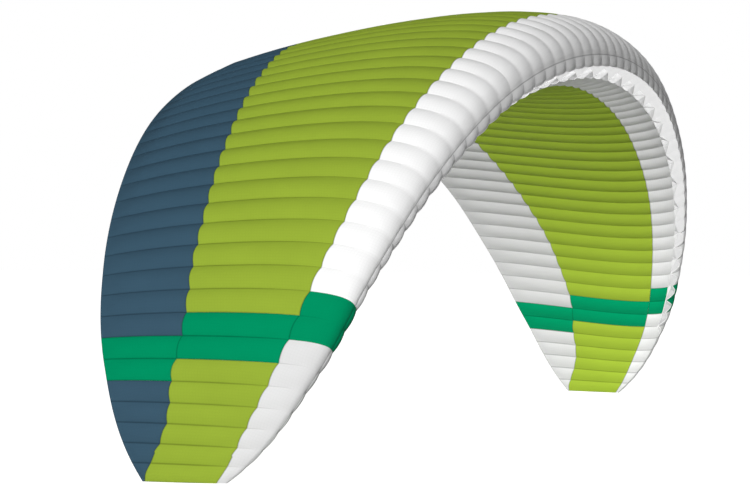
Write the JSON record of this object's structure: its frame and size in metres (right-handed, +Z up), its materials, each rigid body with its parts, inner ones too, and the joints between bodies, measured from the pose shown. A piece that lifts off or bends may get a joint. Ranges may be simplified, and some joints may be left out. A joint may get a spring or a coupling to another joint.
{
  "type": "paraglider wing",
  "caption": "Inflated ram-air paraglider canopy: a swept arch of billowed cells in blue, lime, white and green cloth, open inlets along the nose, standing on flat tips.",
  "frame": {"origin": "on the ground plane, below the middle of the canopy box: the two flat tips stand on z = 0", "axes": "+X along the span to the right tip, -Y is the leading edge and the way of flight, +Z up"},
  "size_m": [8.8202, 2.8354, 3.2011],
  "materials": {
    "blue_sailcloth": "coated ripstop nylon, slate blue",
    "lime_sailcloth": "coated ripstop nylon, lime",
    "green_sailcloth": "coated ripstop nylon, emerald",
    "white_sailcloth": "coated ripstop nylon, white",
    "rib_cloth": "stiffer coated rib cloth, white"
  },
  "bodies": {
    "root": {"upper_trailing_tip_left": "blue_sailcloth", "upper_trailing_green_left": "green_sailcloth", "upper_trailing_main": "blue_sailcloth", "upper_trailing_green_right": "green_sailcloth", "upper_trailing_tip_right": "blue_sailcloth", "upper_middle_tip_left": "lime_sailcloth", "upper_middle_green_left": "green_sailcloth", "upper_middle_main": "lime_sailcloth", "upper_middle_green_right": "green_sailcloth", "upper_middle_tip_right": "lime_sailcloth", "upper_leading_tip_left": "white_sailcloth", "upper_leading_green_left": "green_sailcloth", "upper_leading_main_left": "white_sailcloth", "upper_leading_main_centre": "white_sailcloth", "upper_leading_main_right": "white_sailcloth", "upper_leading_green_right": "green_sailcloth", "upper_leading_tip_right": "white_sailcloth", "lower_trailing_tip_left": "white_sailcloth", "lower_trailing_green_left": "green_sailcloth", "lower_trailing_main": "white_sailcloth", "lower_trailing_green_right": "green_sailcloth", "lower_trailing_tip_right": "white_sailcloth", "lower_middle_tip_left": "lime_sailcloth", "lower_middle_green_left": "green_sailcloth", "lower_middle_main_left": "lime_sailcloth", "lower_middle_main_centre": "lime_sailcloth", "lower_middle_main_right": "lime_sailcloth", "lower_middle_green_right": "green_sailcloth", "lower_middle_tip_right": "lime_sailcloth", "lower_leading_tip_left": "white_sailcloth", "lower_leading_green_left": "green_sailcloth", "lower_leading_main_left": "white_sailcloth", "lower_leading_main_centre": "white_sailcloth", "lower_leading_main_right": "white_sailcloth", "lower_leading_green_right": "green_sailcloth", "lower_leading_tip_right": "white_sailcloth", "rib_12": "rib_cloth", "rib_14": "rib_cloth", "rib_16": "rib_cloth", "rib_18": "rib_cloth", "rib_20": "rib_cloth", "rib_22": "rib_cloth", "rib_24": "rib_cloth", "rib_26": "rib_cloth", "rib_28": "rib_cloth", "rib_30": "rib_cloth", "rib_32": "rib_cloth", "rib_34": "rib_cloth", "rib_36": "rib_cloth", "rib_38": "rib_cloth", "rib_40": "rib_cloth", "rib_42": "rib_cloth", "rib_44": "rib_cloth", "rib_46": "rib_cloth", "rib_48": "rib_cloth", "rib_50": "rib_cloth", "rib_52": "rib_cloth", "rib_54": "rib_cloth", "tip_rib_left": "rib_cloth", "tip_rib_right": "rib_cloth"}
  },
  "joints": []
}
